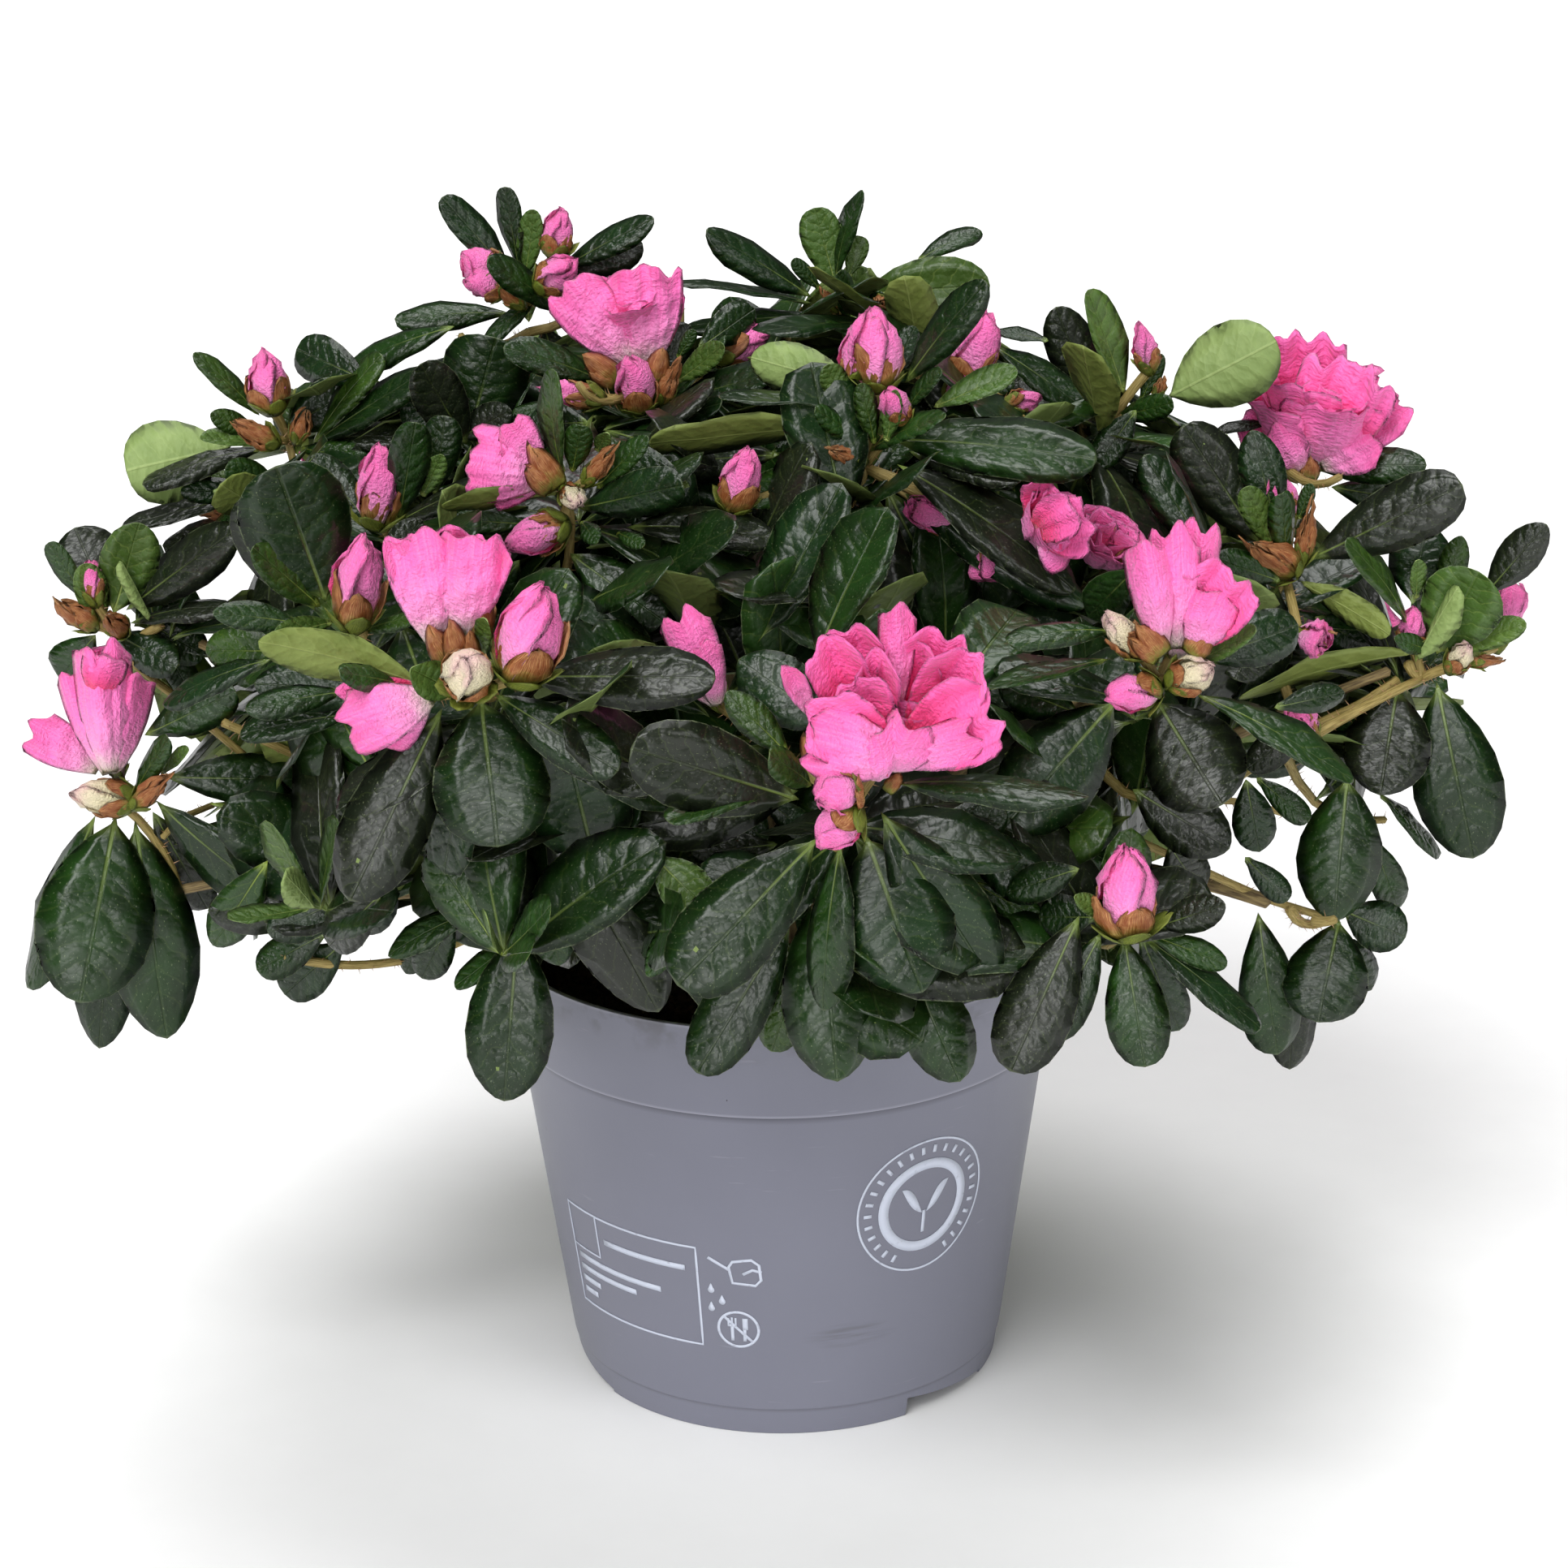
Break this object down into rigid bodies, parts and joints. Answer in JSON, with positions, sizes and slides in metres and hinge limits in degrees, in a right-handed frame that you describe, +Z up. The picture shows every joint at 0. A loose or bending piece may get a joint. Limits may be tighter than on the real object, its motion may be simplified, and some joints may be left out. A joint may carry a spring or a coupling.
{
  "type": "potted azalea shrub",
  "caption": "Low, wide, mounded azalea shrub with glossy dark leaves, pink buds and ruffled pink blooms, standing in a round tapered plastic pot.",
  "frame": {"origin": "centre of the pot's underside, on the surface that it stands on", "axes": "+Z up; -Y is the front of the plant; +X is to its right as seen from the front"},
  "size_m": [0.3631, 0.336, 0.282],
  "materials": {
    "pot": "satin",
    "root_ball": "matte",
    "bark": "matte",
    "foliage": "satin",
    "blossom": "matte"
  },
  "bodies": {
    "root": {"bough_back": "bark", "bough_back_left": "bark", "bough_back_right": "bark", "bough_front": "bark", "bough_front_left": "bark", "bough_front_right": "bark", "bough_leader": "bark", "bough_left": "bark", "bough_left_end": "bark", "bough_left_rear": "bark", "bough_low_back_left": "bark", "bough_low_back_right": "bark", "bough_low_front_left": "bark", "bough_low_left_end": "bark", "bough_right": "bark", "bough_right_end": "bark", "bough_right_rear": "bark", "bough_top_back": "bark", "bough_top_front": "bark", "bough_top_left": "bark", "foliage_crest_back": "foliage", "foliage_crest_back_left": "foliage", "foliage_crest_far_back": "foliage", "foliage_crest_front": "foliage", "foliage_crest_front_left": "foliage", "foliage_crest_left": "foliage", "foliage_crest_middle": "foliage", "foliage_crest_right": "foliage", "foliage_crest_right_rear": "foliage", "foliage_crest_top_right": "foliage", "foliage_skirt_back": "foliage", "foliage_skirt_back_left": "foliage", "foliage_skirt_back_middle": "foliage", "foliage_skirt_back_right": "foliage", "foliage_skirt_front": "foliage", "foliage_skirt_front_left": "foliage", "foliage_skirt_front_right": "foliage", "foliage_skirt_left": "foliage", "foliage_skirt_left_end": "foliage", "foliage_skirt_left_rear": "foliage", "foliage_skirt_right": "foliage", "foliage_skirt_right_rear": "foliage", "foliage_waist_back": "foliage", "foliage_waist_back_far_left": "foliage", "foliage_waist_back_left": "foliage", "foliage_waist_back_right": "foliage", "foliage_waist_front": "foliage", "foliage_waist_front_left": "foliage", "foliage_waist_front_right": "foliage", "foliage_waist_left": "foliage", "foliage_waist_left_end": "foliage", "foliage_waist_left_rear": "foliage", "foliage_waist_middle": "foliage", "foliage_waist_right": "foliage", "foliage_waist_right_end": "foliage", "foliage_waist_right_rear": "foliage", "pot": "pot", "root_ball": "root_ball", "stem": "bark"}
  },
  "joints": []
}
